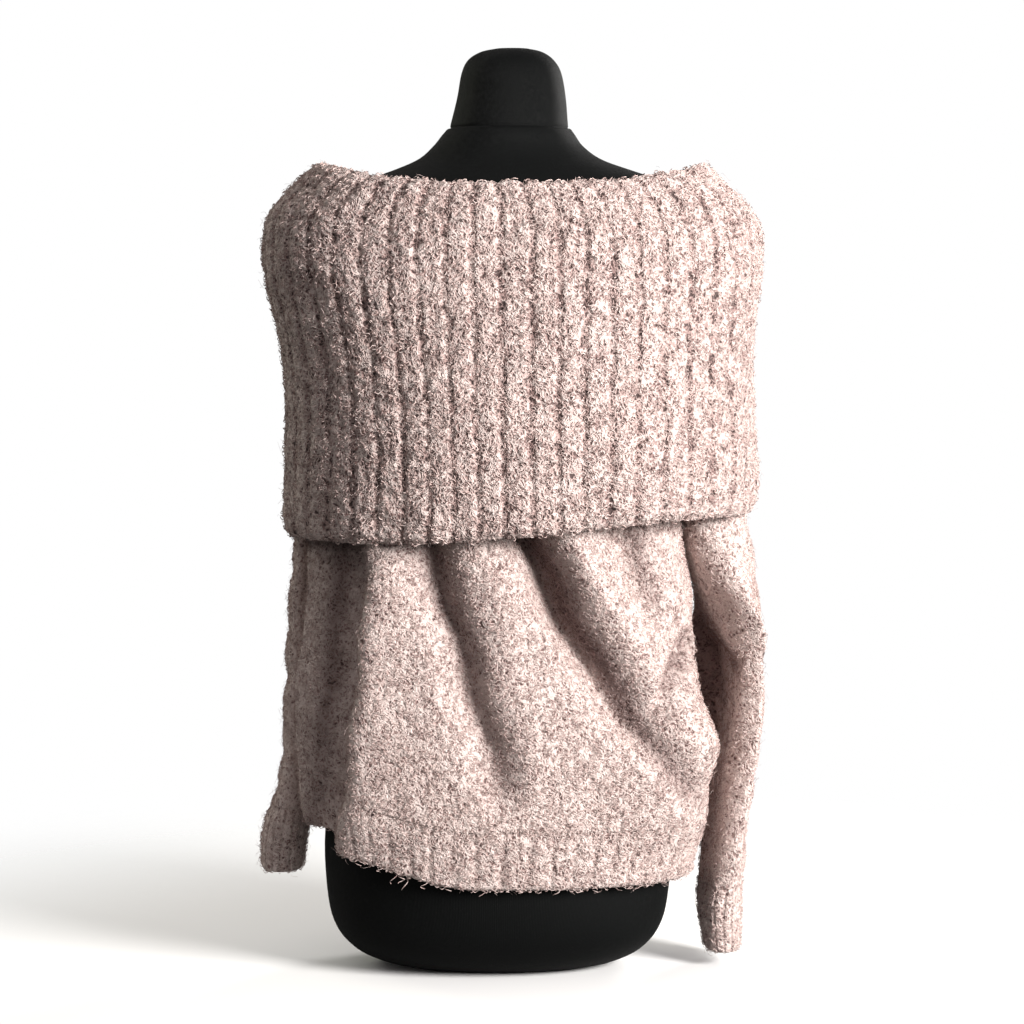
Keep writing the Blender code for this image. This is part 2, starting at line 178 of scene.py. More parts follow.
formShape = {
    "columns": 72, "rows": 120, "seamZ": 0.7705, "seamWidth": 0.0016, "welt": 0.0009,
    "levels": rowsOf("z left right back front side", [
        (0.000, -0.088, 0.090, -0.046, 0.050, 0.0),
        (0.006, -0.113, 0.113, -0.062, 0.067, 0.0),
        (0.018, -0.136, 0.135, -0.081, 0.084, 0.0),
        (0.040, -0.153, 0.151, -0.098, 0.097, 0.0),
        (0.075, -0.160, 0.158, -0.107, 0.104, 0.0),
        (0.130, -0.161, 0.161, -0.110, 0.104, 0.0),
        (0.200, -0.149, 0.151, -0.105, 0.099, 0.0),
        (0.280, -0.128, 0.132, -0.091, 0.095, 0.0),
        (0.360, -0.109, 0.115, -0.083, 0.088, 0.0),
        (0.440, -0.116, 0.124, -0.089, 0.098, 0.0),
        (0.520, -0.130, 0.140, -0.098, 0.114, 0.0),
        (0.580, -0.140, 0.154, -0.103, 0.114, 0.0),
        (0.640, -0.151, 0.173, -0.102, 0.102, 0.0),
        (0.680, -0.1554, 0.1796, -0.095, 0.090, 0.0),
        (0.705, -0.150, 0.175, -0.087, 0.080, 0.0),
        (0.720, -0.132, 0.158, -0.079, 0.070, 0.0),
        (0.731, -0.100, 0.125, -0.071, 0.062, 0.0),
        (0.742, -0.074, 0.094, -0.064, 0.057, 0.0),
        (0.754, -0.060, 0.077, -0.059, 0.056, 0.0),
        (0.765, -0.051, 0.069, -0.056, 0.056, 0.0),
        (0.770, -0.045, 0.064, -0.052, 0.054, 0.0),
        (0.774, -0.044, 0.063, -0.051, 0.053, 0.0),
        (0.798, -0.038, 0.061, -0.047, 0.051, 0.0),
        (0.820, -0.034, 0.057, -0.043, 0.048, 0.0),
        (0.832, -0.028, 0.050, -0.037, 0.042, 0.0),
        (0.839, -0.017, 0.040, -0.027, 0.032, 0.0),
        (0.842, -0.004, 0.028, -0.015, 0.019, 0.0),
    ]),
}


# Body of the sweater

bodyShape = {
    "neckZ": 0.600, "underarmZ": 0.500, "armholeAngle": math.radians(36), "wall": 0.003,
    "hemLow": 0.092, "hemSlope": 0.027, "hemSideRise": 0.019, "hemHeight": 0.052,
    "foldLead": 0.01, "foldFade": 0.035, "foldEase": 0.45, "deepest": 0.034,
    "foldSway": 0.0022, "swayPitch": 70, "swayShift": 90,
    "rings": rowsOf("z left right back front side", [
        (0.080, -0.168, 0.172, -0.120, 0.122, -0.030),
        (0.120, -0.173, 0.180, -0.124, 0.125, -0.038),
        (0.150, -0.178, 0.187, -0.127, 0.125, -0.050),
        (0.180, -0.181, 0.186, -0.128, 0.126, -0.050),
        (0.220, -0.184, 0.187, -0.127, 0.126, -0.050),
        (0.270, -0.184, 0.179, -0.125, 0.126, -0.050),
        (0.310, -0.178, 0.174, -0.123, 0.128, -0.046),
        (0.350, -0.174, 0.174, -0.121, 0.130, -0.040),
        (0.396, -0.173, 0.1655, -0.120, 0.132, -0.030),
        (0.440, -0.166, 0.166, -0.120, 0.136, -0.020),
        (0.500, -0.160, 0.170, -0.120, 0.138, -0.002),
        (0.560, -0.157, 0.180, -0.117, 0.130, 0.0),
        (0.600, -0.157, 0.183, -0.114, 0.122, 0.0),
    ]),
    "pouches": rowsOf("angle z angleSpread zSpread out", [
        (-34, 0.208, 22, 0.056, 0.027),
        (-152, 0.250, 16, 0.060, 0.006),
        (62, 0.230, 24, 0.060, 0.008),
        (128, 0.190, 20, 0.050, 0.009),
    ]),
    "sidePleat": {"lowX": 0.149, "lowZ": 0.2926, "slant": 0.4545, "depth": 0.032, "spread": 0.024,
                  "fade": 0.060, "full": 0.008, "endLow": 0.010, "endHigh": 0.036, "edge": 0.005},
    "backFolds": rowsOf("topX topZ lowX lowZ bow spread depth step", [
        (-0.130, 0.450, -0.173, 0.060, 0.008, 0.014, -0.032, 1),
        (-0.143, 0.450, -0.166, 0.200, 0.006, 0.011, -0.007, 0),
        (-0.108, 0.440, -0.138, 0.080, 0.006, 0.026, 0.010, 0),
        (-0.084, 0.450, 0.006, 0.160, 0.002, 0.018, -0.021, 0),
        (-0.034, 0.440, 0.040, 0.180, 0.004, 0.020, 0.004, 0),
        (0.003, 0.450, 0.182, 0.150, -0.014, 0.017, -0.034, 0),
        (0.046, 0.440, 0.196, 0.190, -0.008, 0.018, 0.014, 0),
        (0.106, 0.460, 0.140, 0.320, -0.003, 0.014, -0.020, 0),
    ]),
    "frontFolds": rowsOf("topX topZ lowX lowZ bow spread depth step", [
        (-0.128, 0.450, -0.138, 0.190, -0.006, 0.016, -0.022, 0),
        (-0.062, 0.450, -0.116, 0.165, 0.008, 0.015, -0.019, 0),
        (-0.030, 0.440, -0.060, 0.200, 0.006, 0.020, 0.008, 0),
        (0.012, 0.450, -0.026, 0.180, 0.008, 0.014, -0.015, 0),
        (0.050, 0.440, 0.084, 0.210, -0.006, 0.019, 0.008, 0),
        (0.088, 0.450, 0.148, 0.165, -0.008, 0.016, -0.024, 0),
    ]),
}


def foldReach(fold, x, z):  # how far from the fold's line, in spreads, and how strong the fold is
    t = (fold["topZ"] - z) / (fold["topZ"] - fold["lowZ"])
    bent = fold["bow"] * math.sin(math.pi * max(0.0, min(1.0, t)))
    line = fold["topX"] + (fold["lowX"] - fold["topX"]) * t + bent
    line += bodyShape["foldSway"] * math.sin(z * bodyShape["swayPitch"] + fold["topX"] * bodyShape["swayShift"])
    fade = smoothStep(fold["lowZ"] - bodyShape["foldLead"], fold["lowZ"] + bodyShape["foldFade"], z)
    fade *= 1 - smoothStep(fold["topZ"], fold["topZ"] + bodyShape["foldFade"], z)
    if not fold["step"]:
        fade *= 1 - bodyShape["foldEase"] * smoothStep(0.3, 1.0, t)
    return (x - line) / fold["spread"], fade


def foldPush(folds, x, z):
    push = 0.0
    for fold in folds:
        reach, fade = foldReach(fold, x, z)
        if fold["step"]:
            reach = max(0.0, reach)
        if abs(reach) < 3:
            push += fold["depth"] * fade * math.exp(-reach ** 2)
    return push


def sidePleat(x, z):  # the back panel's edge lifts off the cloth behind it
    pleat = bodyShape["sidePleat"]
    past = x - pleat["lowX"] - (z - pleat["lowZ"]) * pleat["slant"]
    if past <= 0:
        return 0.0
    fade = smoothStep(pleat["lowZ"] - pleat["fade"], pleat["lowZ"] + pleat["full"], z)
    fade *= 1 - smoothStep(pleat["lowZ"] + pleat["endLow"], pleat["lowZ"] + pleat["endHigh"], z)
    edge = smoothStep(0.0, pleat["edge"], past)
    return pleat["depth"] * fade * edge * math.exp(-(past / pleat["spread"]) ** 2)


# Painted shade: how the darkening mask spreads over the fold troughs and under the side pleat's lip
paintedShadeShape = {"pleat": 0.8, "stepCentre": -0.7, "stepShare": 0.6, "centre": 0.35, "spread": 0.9}


def bodyPaintedShade(point):  # 1 at the bottom of the deepest folds and under the side pleat's lip: a painted shade mask
    folds = bodyShape["backFolds"] if point.y < 0 else bodyShape["frontFolds"]
    paintedShade = 0.0
    if point.y < 0:
        paintedShade += paintedShadeShape["pleat"] * sidePleat(point.x, point.z) / bodyShape["sidePleat"]["depth"]
    for fold in folds:
        if fold["depth"] < 0:
            reach, fade = foldReach(fold, point.x, point.z)
            centre = paintedShadeShape["stepCentre" if fold["step"] else "centre"]
            deep = -fold["depth"] / bodyShape["deepest"] * (paintedShadeShape["stepShare"] if fold["step"] else 1.0)
            paintedShade += deep * fade * math.exp(-((reach - centre) / paintedShadeShape["spread"]) ** 2)
    return min(1.0, paintedShade)


bodyRowCache = {}


def bodyRow(z):
    key = round(z, 4)
    if key not in bodyRowCache:
        bodyRowCache[key] = rowAt(bodyShape["rings"], "z", key)
    return bodyRowCache[key]


def bodyPoint(angle, z):
    point = ringPoint(bodyRow(z), angle, z)
    out = Vector((math.cos(angle) * 0.8, math.sin(angle), 0)).normalized()
    folds = bodyShape["backFolds"] if math.sin(angle) < 0 else bodyShape["frontFolds"]
    push = foldPush(folds, point.x, z) * abs(math.sin(angle)) ** 0.7
    for pouch in bodyShape["pouches"]:
        turn = (math.degrees(angle) - pouch["angle"] + 180) % 360 - 180
        push += (pouch["out"] * math.exp(-(turn / pouch["angleSpread"]) ** 2)
                 * math.exp(-((z - pouch["z"]) / pouch["zSpread"]) ** 2))
    point = point + out * push
    if math.sin(angle) < 0:
        point.y += sidePleat(point.x, z)
    return point


def hemLow(angle):
    c = math.cos(angle)
    return (bodyShape["hemLow"] + bodyShape["hemSlope"] * smoothStep(0.1, 0.9, -c)
            + bodyShape["hemSideRise"] * smoothStep(0.83, 0.95, -c))


def armhole(z):
    share = smoothStep(bodyShape["underarmZ"] - 0.002, bodyShape["neckZ"], z)
    return bodyShape["armholeAngle"] * share ** 0.6


def panelPlace(start):
    def place(u, w):
        middle = start + (1 - u) * math.pi
        low = hemLow(middle) + bodyShape["hemHeight"]
        z = bodyShape["neckZ"] + (low - bodyShape["neckZ"]) * w
        inset = armhole(z)
        return bodyPoint(start + inset + (1 - u) * (math.pi - 2 * inset), z)
    return place


def boucleLumps(point, size=0.0007):  # nubs of the curly yarn, as far as the mesh can hold them
    return size * softNoise(point, 260) + size * 0.8 * softNoise(point, 120, 3.1)


def panelLift(u, w, point):
    return boucleLumps(point) + 0.0012 * softNoise(point, 34, 9.2)


def makePanels():
    pieces = []
    for name, start in (("backPanel", -math.pi), ("frontPanel", 0.0)):
        pieces.append(knitWall(name, panelPlace(start), (190, 170), (48, 42), (20, 19.6),
                               panelLift, bodyShape["wall"]))
    return pieces


# Hem rib

hemShape = {"ribs": 56, "rise": 0.0014, "wall": 0.004}


def hemPlace(u, w):
    angle = (1 - u) * 2 * math.pi
    return bodyPoint(angle, hemLow(angle) + bodyShape["hemHeight"] * (1 - w))


def hemLift(u, w, point):
    soft = smoothStep(0.0, 0.3, w)
    rolled = -0.0022 * smoothStep(0.93, 1.0, w)
    return hemShape["rise"] * ribShape(u * hemShape["ribs"]) * soft + rolled + boucleLumps(point)


def makeHem():
    return knitWall("hemRib", hemPlace, (hemShape["ribs"] * 7, 22), (hemShape["ribs"] * 2, 6),
                    (hemShape["ribs"], 2.2), hemLift, hemShape["wall"])


# Sleeves and cuffs

sleeveShape = {
    "topShare": 0.2, "cuffHeight": 0.060, "cuffRibs": 16, "cuffRise": 0.0016, "wall": 0.003,
    "right": rowsOf("z left right back front side lean", [
        (0.010, 0.193, 0.223, -0.026, 0.032, 0.003, 0.000),
        (0.060, 0.186, 0.224, -0.030, 0.036, 0.003, 0.002),
        (0.100, 0.188, 0.229, -0.033, 0.042, 0.018, 0.010),
        (0.150, 0.194, 0.235, -0.030, 0.052, 0.026, 0.013),
        (0.200, 0.197, 0.243, -0.028, 0.058, 0.034, 0.016),
        (0.250, 0.189, 0.247, -0.034, 0.060, 0.040, 0.022),
        (0.280, 0.1825, 0.246, -0.040, 0.060, 0.044, 0.026),
        (0.310, 0.180, 0.244, -0.046, 0.060, 0.044, 0.030),
        (0.335, 0.1835, 0.241, -0.050, 0.060, 0.034, 0.020),
        (0.360, 0.1775, 0.238, -0.048, 0.060, 0.008, 0.010),
        (0.390, 0.1678, 0.232, -0.046, 0.058, 0.002, 0.000),
        (0.420, 0.1676, 0.225, -0.042, 0.056, 0.002, -0.006),
        (0.500, 0.1706, 0.219, -0.042, 0.050, -0.002, 0.000),
        (0.600, 0.178, 0.206, -0.040, 0.044, -0.002, 0.000),
    ]),
    "left": rowsOf("z left right back front side", [
        (0.080, -0.222, -0.186, 0.000, 0.056, 0.028),
        (0.120, -0.220, -0.181, -0.002, 0.062, 0.030),
        (0.150, -0.211, -0.179, -0.001, 0.072, 0.034),
        (0.180, -0.205, -0.178, 0.000, 0.080, 0.038),
        (0.240, -0.201, -0.176, 0.001, 0.086, 0.040),
        (0.310, -0.198, -0.171, 0.000, 0.084, 0.038),
        (0.360, -0.193, -0.1725, -0.006, 0.064, 0.028),
        (0.420, -0.1865, -0.1695, -0.018, 0.042, 0.010),
        (0.500, -0.184, -0.1606, -0.032, 0.040, -0.002),
        (0.600, -0.184, -0.156, -0.040, 0.044, -0.002),
    ]),
    "endZ": {"right": 0.014, "left": 0.084},
    "tuckEdge": 0.012, "tuckStart": -0.004, "tuckBack": 0.05,
    "tuck": rowsOf("z ridge depth", [
        (0.010, 0.197, 0.30), (0.064, 0.199, 0.55), (0.120, 0.205, 0.80), (0.185, 0.211, 0.95),
        (0.227, 0.217, 1.0), (0.268, 0.220, 1.0), (0.285, 0.222, 1.0), (0.299, 0.213, 1.0),
        (0.331, 0.195, 0.95), (0.354, 0.183, 0.6), (0.370, 0.178, 0.0),
    ]),
}
armCreases = rowsOf("z angle slant zSpread angleSpread depth", [
    (0.360, 20, 60, 0.012, 70, -0.0030),
    (0.318, -30, -80, 0.010, 60, -0.0026),
    (0.268, 10, 90, 0.013, 80, -0.0030),
    (0.216, -20, -60, 0.011, 70, -0.0034),
    (0.176, 30, 70, 0.009, 60, -0.0026),
    (0.142, -10, -50, 0.009, 80, -0.0030),
    (0.115, 25, 40, 0.007, 70, -0.0022),
])


def sleeveRing(side, turn, z):  # the right sleeve is tucked in behind its ridge
    row = rowAt(sleeveShape[side], "z", z)
    point = ringPoint(row, turn, z)
    if side == "right" and point.y < row["side"]:
        tuck = rowAt(sleeveShape["tuck"], "z", z)
        share = tuck["depth"] * smoothStep(0.0, sleeveShape["tuckEdge"], tuck["ridge"] - point.x)
        point.y += (row["side"] - point.y) * share
    return point


# Painted shade: darkens the right sleeve's tucked face behind its ridge, where the ridge's shadow falls
def tuckPaintedShade(point):
    if point.y > sleeveShape["tuckBack"]:
        return 0.0
    tuck = rowAt(sleeveShape["tuck"], "z", point.z)
    return tuck["depth"] * smoothStep(sleeveShape["tuckStart"], sleeveShape["tuckEdge"],
                                      tuck["ridge"] - point.x)


def sleevePlace(side, endZ):
    rows = sleeveShape[side]
    neckZ, underarmZ = bodyShape["neckZ"], bodyShape["underarmZ"]
    topShare = sleeveShape["topShare"]

    def edge(z, front):
        turn = armhole(z) * (1 if front else -1)
        return bodyPoint(turn if side == "right" else math.pi - turn, z)

    def place(acrossShare, w):
        u = acrossShare if side == "right" else 1 - acrossShare
        if w < topShare:
            z = neckZ + (underarmZ - neckZ) * w / topShare
        else:
            z = underarmZ + (endZ - underarmZ) * (w - topShare) / (1 - topShare)
        turn = (1 - 2 * u) * math.pi
        row = rowAt(rows, "z", z)
        ring = sleeveRing(side, turn if side == "right" else math.pi - turn, z)
        if z <= underarmZ:
            return ring
        first = ringPoint(row, math.pi if side == "right" else 0.0, z)
        across = armhole(z) * (1 - 2 * u)
        flat = bodyPoint(across if side == "right" else math.pi - across, z)
        nearFront = max(0.0, 1 - 2 * u) ** 2
        nearBack = max(0.0, 2 * u - 1) ** 2
        bent = ring + (edge(z, True) - first) * nearFront + (edge(z, False) - first) * nearBack
        point = flat.lerp(bent, smoothStep(neckZ, underarmZ, z))
        if u in (0, 1):
            point = edge(z, u == 0)
        point.z = z
        return point
    return place


def sleeveLift(side):
    def lift(u, w, point):
        turn = (u - 0.5) * 360
        crease = 0.0
        for row in armCreases:
            z = row["z"] + (0.05 if side == "left" else 0.0)
            line = z + (turn - row["angle"]) / 360 * row["slant"] * 0.001
            reach = math.exp(-((point.z - line) / row["zSpread"]) ** 2)
            crease += row["depth"] * reach * math.exp(-((turn - row["angle"]) / row["angleSpread"]) ** 2)
        return crease + boucleLumps(point, 0.0006) + 0.0010 * softNoise(point, 45, 5.0)
    return lift


def cuffPlace(side):
    def place(u, w):
        z = sleeveShape["endZ"][side] + sleeveShape["cuffHeight"] * (1 - w)
        return sleeveRing(side, (1 - u) * 2 * math.pi, z)
    return place


def cuffLift(u, w, point):
    rolled = -0.0016 * smoothStep(0.94, 1.0, w)
    rib = sleeveShape["cuffRise"] * ribShape(u * sleeveShape["cuffRibs"])
    return rib * smoothStep(0.0, 0.25, w) + rolled + boucleLumps(point, 0.0005)


def makeSleeves():
    pieces = []
    for side in ("left", "right"):
        cuffTop = sleeveShape["endZ"][side] + sleeveShape["cuffHeight"]
        sleeve = knitWall("sleeve." + side, sleevePlace(side, cuffTop), (70, 160), (24, 50),
                          (6.5, 21), sleeveLift(side), sleeveShape["wall"])
        cuff = knitWall("cuff." + side, cuffPlace(side), (sleeveShape["cuffRibs"] * 7, 24),
                        (sleeveShape["cuffRibs"] * 2, 8), (sleeveShape["cuffRibs"], 2.5),
                        cuffLift, sleeveShape["wall"])
        pieces.append((side, sleeve, cuff))
    return pieces


# Folded collar

collarShape = {
    "even": 0.16, "sway": 0.014, "rolled": 0.0040,
    "ribs": 46, "rise": 0.0019, "rimRise": 0.026, "lowRise": 0.020, "wall": 0.004,
    "rows": rowsOf("step drop left right back front side", [
        (0.00, 0.400, -0.195, 0.230, -0.146, 0.152, 0.008),
        (0.04, 0.418, -0.1965, 0.234, -0.149, 0.155, 0.008),
        (0.12, 0.462, -0.195, 0.235, -0.150, 0.156, 0.008),
        (0.20, 0.508, -0.194, 0.233, -0.148, 0.157, 0.008),
        (0.28, 0.553, -0.196, 0.231, -0.144, 0.157, 0.006),
        (0.36, 0.600, -0.204, 0.235, -0.139, 0.154, 0.003),
        (0.43, 0.642, -0.213, 0.239, -0.132, 0.146, 0.0),
        (0.49, 0.674, -0.213, 0.238, -0.126, 0.135, 0.0),
        (0.54, 0.693, -0.208, 0.230, -0.121, 0.127, 0.0),
        (0.59, 0.706, -0.197, 0.219, -0.118, 0.121, 0.0),
        (0.64, 0.714, -0.184, 0.205, -0.114, 0.116, 0.0),
        (0.69, 0.716, -0.172, 0.194, -0.109, 0.111, 0.0),
        (0.74, 0.713, -0.163, 0.187, -0.104, 0.106, 0.0),
        (0.80, 0.697, -0.158, 0.182, -0.103, 0.105, 0.0),
        (0.88, 0.665, -0.1572, 0.1812, -0.107, 0.110, 0.0),
        (1.00, 0.6004, -0.154, 0.180, -0.111, 0.119, 0.0),
    ]),
}
collarRowCache = {}


def collarPlace(u, w):
    share = 1 - w
    key = round(share, 5)
    if key not in collarRowCache:
        collarRowCache[key] = rowAt(collarShape["rows"], "step", key)
    row = collarRowCache[key]
    angle = (1 - u) * 2 * math.pi
    angle += collarShape["even"] * math.sin(2 * angle)
    fall = smoothStep(0.0, 0.1, share) * (1 - smoothStep(0.5, 0.7, share))
    sway = collarShape["sway"] * fall * math.sin(share * 9 + 3 * math.cos(angle)) * math.sin(angle)
    point = ringPoint(row, angle + sway, row["drop"])
    nearRim = smoothStep(0.57, 0.78, share) * (1 - smoothStep(0.80, 0.96, share))
    point.z += collarShape["rimRise"] * abs(math.cos(angle)) ** 2.2 * nearRim
    point.z += (collarShape["lowRise"] * (1 - smoothStep(0.0, 0.16, share))
                * smoothStep(-0.6, 0.8, math.cos(angle)))
    return point


def collarLift(u, w, point):
    share = 1 - w
    rolled = -collarShape["rolled"] * (1 - smoothStep(0.0, 0.022, share)) ** 2
    flat = 1 - smoothStep(0.80, 0.86, share)
    rib = collarShape["rise"] * ribShape(u * collarShape["ribs"]) * flat
    lumps = boucleLumps(point, 0.0016) + 0.0024 * softNoise(point, 22, 1.3)
    return rib * (1 + 0.5 * softNoise(point, 30, 4.4)) + rolled + lumps * flat


def makeCollar():
    ribs = collarShape["ribs"]
    return knitWall("collarKnit", collarPlace, (ribs * 8, 180), (ribs * 2, 50), (ribs, 22),
                    collarLift, collarShape["wall"])


# Painted shade: a colour mask that darkens the fold troughs, the side pleat's lip and the right sleeve's tuck

paintedShadeKinds = {"backPanel": bodyPaintedShade, "frontPanel": bodyPaintedShade, "hemRib": bodyPaintedShade,
               "sleeve.right": tuckPaintedShade, "cuff.right": tuckPaintedShade}


# Stores the painted shade mask on the piece's points
def markPaintedShade(piece, source):
    if source not in paintedShadeKinds:
        return
    paintedShade = piece.data.attributes.new("paintedShade", "FLOAT", "POINT")
    values = [paintedShadeKinds[source](vert.co) for vert in piece.data.vertices]
    paintedShade.data.foreach_set("value", values)


# Curly yarn that stands off the knit

def scatterPoints(source, count, keep):  # points on the outer face, even by area
    data = source.data
    outer = data.attributes["outer"].data
    chosen, sizes = [], []
    for polygon in data.polygons:
        if outer[polygon.index].value == 1 and keep(polygon.center):
            chosen.append(polygon)
            sizes.append(polygon.area)
    spots = []
    for polygon in rng.choices(chosen, weights=sizes, k=count):
        corners = [data.vertices[k].co for k in polygon.vertices]
        s, t = rng.random(), rng.random()
        low = corners[0].lerp(corners[1], s)
        high = corners[-1].lerp(corners[-2], s)
        spots.append((low.lerp(high, t), polygon.normal.copy()))
    return spots


def curlPath(spot, normal, curl):
    tangent = normal.orthogonal().normalized()
    tangent.rotate(Quaternion(normal, rng.uniform(0, 2 * math.pi)))
    side = normal.cross(tangent)
    radius = rng.uniform(*curl["radius"])
    sweep = math.radians(rng.uniform(*curl["sweep"]))
    start = rng.uniform(0, 2 * math.pi)
    height = rng.uniform(*curl["height"])
    stretch = rng.uniform(0.8, 1.7)
    points = []
    for k in range(curl["points"]):
        share = k / (curl["points"] - 1)
        turn = start + sweep * share
        rise = height * math.sin(math.pi * share) if curl["returns"] else height * share
        points.append(spot + tangent * radius * stretch * math.cos(turn)
                      + side * radius * math.sin(turn) + normal * (rise + curl["seat"]))
    return points


def curvesToPiece(name, paths, halfWidth):  # flat ribbons of yarn along the paths
    data = bpy.data.curves.new(name, "CURVE")
    data.dimensions = "3D"
    data.extrude = halfWidth
    data.twist_mode = "Z_UP"
    for path in paths:
        spline = data.splines.new("POLY")
        spline.points.add(len(path) - 1)
        flat = []
        for point in path:
            flat.extend((point.x, point.y, point.z, 1.0))
        spline.points.foreach_set("co", flat)
    maker = bpy.data.objects.new(name + "Maker", data)
    bpy.context.scene.collection.objects.link(maker)
    ready = maker.evaluated_get(bpy.context.evaluated_depsgraph_get())
    mesh = bpy.data.meshes.new_from_object(ready)
    mesh.name = name
    bpy.data.objects.remove(maker, do_unlink=True)
    bpy.data.curves.remove(data)
    piece = bpy.data.objects.new(name, mesh)
    bpy.context.scene.collection.objects.link(piece)
    mesh.shade_smooth()
    return piece


curlWidth = {"collarKnit": 0.00038, "other": 0.00027}
curlKinds = {
    "loop": {"radius": (0.0010, 0.0025), "sweep": (170, 300), "height": (0.0006, 0.0022),
             "points": 5, "returns": True, "seat": 0.0001},
    "stray": {"radius": (0.0020, 0.0048), "sweep": (90, 260), "height": (0.0020, 0.0060),
              "points": 7, "returns": False, "seat": 0.0},
}
curlCounts = {
    "collarKnit": (17500, 1500), "backPanel": (12500, 900), "frontPanel": (9500, 600),
    "sleeve.left": (4200, 400), "sleeve.right": (4800, 450), "hemRib": (4200, 700),
    "cuff.left": (900, 120), "cuff.right": (900, 120),
}


def shownPart(name):  # what the collar hides gets no curls
    if name == "collarKnit":
        return lambda centre: centre.z < 0.62 or abs(centre.x) > 0.10 or abs(centre.y) > 0.085
    hidden = 0.435 if name in ("backPanel", "frontPanel", "sleeve.left", "sleeve.right") else 9
    return lambda centre: centre.z < hidden


def makeCurls(source):
    loops, strays = curlCounts[source.name]
    keep = shownPart(source.name)
    paths = [curlPath(spot, normal, curlKinds["loop"])
             for spot, normal in scatterPoints(source, loops, keep)]
    thin = [curlPath(spot, normal, curlKinds["stray"])
            for spot, normal in scatterPoints(source, strays, keep)]
    width = curlWidth.get(source.name, curlWidth["other"])
    curls = curvesToPiece("curls." + source.name, paths, width)
    wisps = curvesToPiece("wisps." + source.name, thin, 0.00009)
    return [curls, wisps]


# Loose ends under the hem

looseEnds = {
    "places": rowsOf("x length curl", [
        (-0.088, 0.012, 1.0), (-0.081, 0.009, -1.4), (-0.078, 0.014, 0.8), (-0.061, 0.008, 1.2),
        (-0.118, 0.005, -0.8), (-0.100, 0.005, 1.1), (-0.040, 0.005, -1.0), (-0.012, 0.006, 0.7),
        (0.016, 0.004, -1.2), (0.047, 0.006, 0.9), (0.082, 0.004, -0.7), (0.120, 0.006, 1.0),
    ]),
    "radius": 0.00024, "points": 14,
}


def makeLooseEnds():
    paths = []
    for end in looseEnds["places"]:
        middle = (bodyRow(0.1)["left"] + bodyRow(0.1)["right"]) / 2
        reach = (bodyRow(0.1)["right"] - bodyRow(0.1)["left"]) / 2
        angle = -math.acos(max(-1.0, min(1.0, (end["x"] - middle) / reach)))
        root = bodyPoint(angle, hemLow(angle) + 0.002)
        path = []
        for k in range(looseEnds["points"]):
            share = k / (looseEnds["points"] - 1)
            turn = share * 5.5 * end["curl"]
            path.append(root + Vector((0.0030 * math.sin(turn), 0.0016 * (math.cos(turn) - 1) - 0.001,
                                       -end["length"] * share)))
        paths.append(path)
    return curvesToPiece("looseEnds", paths, looseEnds["radius"])


# Form

def makeForm():
    levels = formShape["levels"]
    for k, row in enumerate(levels):
        row["k"] = k
    last = len(levels) - 1
    mesh = bmesh.new()

    def place(u, w):
        row = rowAt(levels, "k", (1 - w) * last)
        return ringPoint(row, (1 - u) * 2 * math.pi, row["z"])
    skin, across, down = layGrid(mesh, place, formShape["columns"], formShape["rows"], (40, 80))
    moves = []
    for vert in skin:
        off = (vert.co.z - formShape["seamZ"]) / formShape["seamWidth"]
        welt = formShape["welt"] * math.exp(-(off + 1.2) ** 2) - formShape["welt"] * math.exp(-(off * 1.6) ** 2)
        moves.append((vert, vert.normal * welt))
    for vert, move in moves:
        vert.co += move
    for loop in boundaryLoops(skin):
        bmesh.ops.contextual_create(mesh, geom=loop)
    bmesh.ops.recalc_face_normals(mesh, faces=mesh.faces)
    return toObject(mesh, "formSkin")


# Shader helpers

def addNode(tree, kind, **values):
    node = tree.nodes.new(kind)
    for name, value in values.items():
        if hasattr(node, name):
            setattr(node, name, value)
        else:
            node.inputs[name].default_value = value
    return node


def mathNode(tree, operation, first, second=None, third=None, clamp=False):
    node = tree.nodes.new("ShaderNodeMath")
    node.operation = operation
    node.use_clamp = clamp
    for k, value in enumerate((first, second, third)):
        if value is None:
            continue
        if isinstance(value, (int, float)):
            node.inputs[k].default_value = value
        else:
            tree.links.new(value, node.inputs[k])
    return node.outputs[0]


def stepNode(tree, value, low, high):
    node = tree.nodes.new("ShaderNodeMapRange")
    node.interpolation_type = "SMOOTHSTEP"
    tree.links.new(value, node.inputs["Value"])
    node.inputs["From Min"].default_value = low
    node.inputs["From Max"].default_value = high
    return node.outputs["Result"]


def noiseNode(tree, vector, scale, detail=1.0, output="Fac"):
    node = tree.nodes.new("ShaderNodeTexNoise")
    node.inputs["Detail"].default_value = detail
    tree.links.new(vector, node.inputs["Vector"])
    if isinstance(scale, (int, float)):
        node.inputs["Scale"].default_value = scale
    else:
        tree.links.new(scale, node.inputs["Scale"])
    return node.outputs[output]


def shiftNode(tree, vector, amount, scale=1.0):
    node = tree.nodes.new("ShaderNodeMapping")
    tree.links.new(vector, node.inputs["Vector"])
    node.inputs["Location"].default_value = amount
    node.inputs["Scale"].default_value = scale if isinstance(scale, tuple) else (scale, scale, scale)
    return node.outputs["Vector"]


def mixColour(tree, share, first, second, blend="MIX"):
    node = tree.nodes.new("ShaderNodeMix")
    node.data_type = "RGBA"
    node.blend_type = blend
    for socket, value in (("Factor", share), ("A", first), ("B", second)):
        inputs = [entry for entry in node.inputs if entry.name == socket and entry.enabled]
        if isinstance(value, (int, float)):
            inputs[0].default_value = value
        elif isinstance(value, tuple):
            inputs[0].default_value = (*value, 1.0)
        else:
            tree.links.new(value, inputs[0])
    return [entry for entry in node.outputs if entry.enabled][0]


def newGroup(name, inputs, outputs):
    group = bpy.data.node_groups.new(name, "ShaderNodeTree")
    for title, kind in inputs:
        group.interface.new_socket(name=title, in_out="INPUT", socket_type=kind)
    for title, kind in outputs:
        group.interface.new_socket(name=title, in_out="OUTPUT", socket_type=kind)
    start = group.nodes.new("NodeGroupInput")
    end = group.nodes.new("NodeGroupOutput")
    return group, start, end


